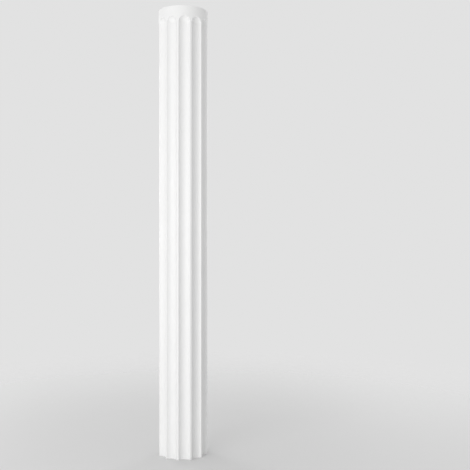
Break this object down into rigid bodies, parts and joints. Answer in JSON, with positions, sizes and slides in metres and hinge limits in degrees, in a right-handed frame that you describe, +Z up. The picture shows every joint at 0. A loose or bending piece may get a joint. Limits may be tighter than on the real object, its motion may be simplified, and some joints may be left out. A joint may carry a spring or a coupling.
{
  "type": "fluted column shaft",
  "caption": "Straight round column shaft with round-headed flutes that run out at the foot, below a plain collar band; stands between a column base and a capital.",
  "frame": {"origin": "middle of the flat foot, on the column's axis", "axes": "+Z up along the column's axis; a flute faces each of +X, +Y, -X and -Y"},
  "size_m": [0.222, 0.222, 2],
  "materials": {
    "white_primer": "smooth satin-matt white factory primer on moulded rigid foam"
  },
  "bodies": {
    "root": {"fluted_shaft": "white_primer"}
  },
  "joints": []
}
